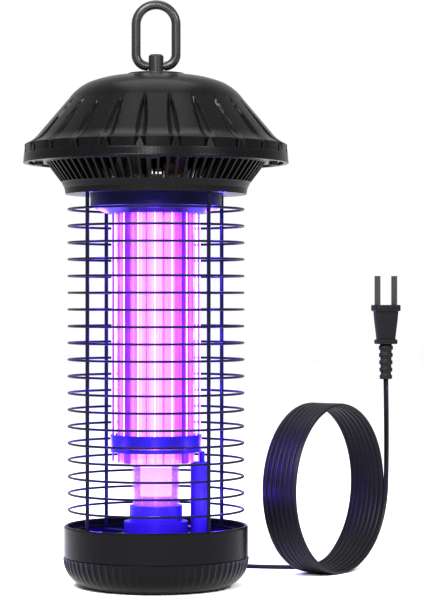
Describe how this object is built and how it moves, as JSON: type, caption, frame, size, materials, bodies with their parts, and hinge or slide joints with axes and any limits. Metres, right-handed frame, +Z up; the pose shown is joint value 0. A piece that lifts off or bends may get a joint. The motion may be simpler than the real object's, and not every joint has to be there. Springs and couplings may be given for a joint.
{
  "type": "electric bug zapper",
  "caption": "Hanging lantern-shaped insect killer: domed hood with vents, glowing lamp and wire grid in a round cage, twist-off catch tray, coiled mains lead with plug.",
  "frame": {"origin": "centre of the catch tray's flat bottom, on the surface that the lantern stands on", "axes": "+Z up along the lantern's axis, -Y towards the front, +X to the right, towards the coiled cord"},
  "size_m": [0.2511, 0.2141, 0.375],
  "materials": {
    "black_plastic": "satin black",
    "spider_plastic": "matt dark blue-black",
    "dark_metal": "dark grey satin",
    "steel": "plated",
    "black_wire": "black coated wire",
    "grid_steel": "bare steel",
    "lamp_glass": "violet glass",
    "lamp_sleeve": "translucent violet",
    "lamp_base_plastic": "pale",
    "brass": "bright",
    "board": "green board",
    "ferrite": "dark core and winding",
    "capacitor_film": "red film",
    "capacitor_sleeve": "blue sleeve",
    "resistor_body": "tan",
    "terminal_plastic": "white",
    "lead_insulation": "brown insulation",
    "cord_pvc": "black soft PVC"
  },
  "bodies": {
    "lantern": {"hood_shell": "black_plastic", "hood_rim": "black_plastic", "vent_neck": "black_plastic", "base_ring": "black_plastic", "base_spider": "spider_plastic", "top_collar": "spider_plastic", "lower_lamp_socket": "spider_plastic", "cable_pillar": "spider_plastic", "lower_grid_ring": "spider_plastic", "lower_grid_band": "spider_plastic", "ring_post": "dark_metal", "post_disc": "dark_metal", "post_washer": "steel", "post_nut": "steel", "hood_screws": "steel", "top_rod_nuts": "steel", "bottom_rod_nuts": "steel", "collar_screws": "steel", "board_screws": "steel", "socket_screws": "steel", "terminal_screws": "steel", "cage_rings": "black_wire", "cage_rods": "black_wire", "grid_wires_live": "grid_steel", "grid_wires_return": "grid_steel", "grid_struts": "grid_steel", "lamp_tube": "lamp_glass", "lamp_skirt": "lamp_sleeve", "lamp_sleeve": "lamp_sleeve", "lamp_base": "lamp_base_plastic", "lamp_pins": "brass", "plug_blades": "brass", "driver_board": "board", "driver_choke": "ferrite", "film_capacitors": "capacitor_film", "smoothing_capacitor": "capacitor_sleeve", "bleed_resistors": "resistor_body", "output_terminal": "terminal_plastic", "mains_terminal": "terminal_plastic", "mains_leads": "lead_insulation", "pillar_leads": "lead_insulation", "cord_gland": "cord_pvc", "cord_lead": "cord_pvc", "cord_riser": "cord_pvc", "cord_coil": "cord_pvc", "plug_body": "cord_pvc", "plug_strain_relief": "cord_pvc"},
    "tray": {"catch_tray": "black_plastic"},
    "hang_ring": {"hanging_ring": "dark_metal"}
  },
  "joints": [
    {"name": "tray_twist", "type": "hinge", "parent": "lantern", "child": "tray", "pos_m": [0, 0, 0.022], "axis": [0, 0, 1], "range_deg": [-22, 0]},
    {"name": "ring_swing", "type": "hinge", "parent": "lantern", "child": "hang_ring", "pos_m": [0, 0, 0.3328], "axis": [1, 0, 0], "range_deg": [-96, 96]}
  ]
}
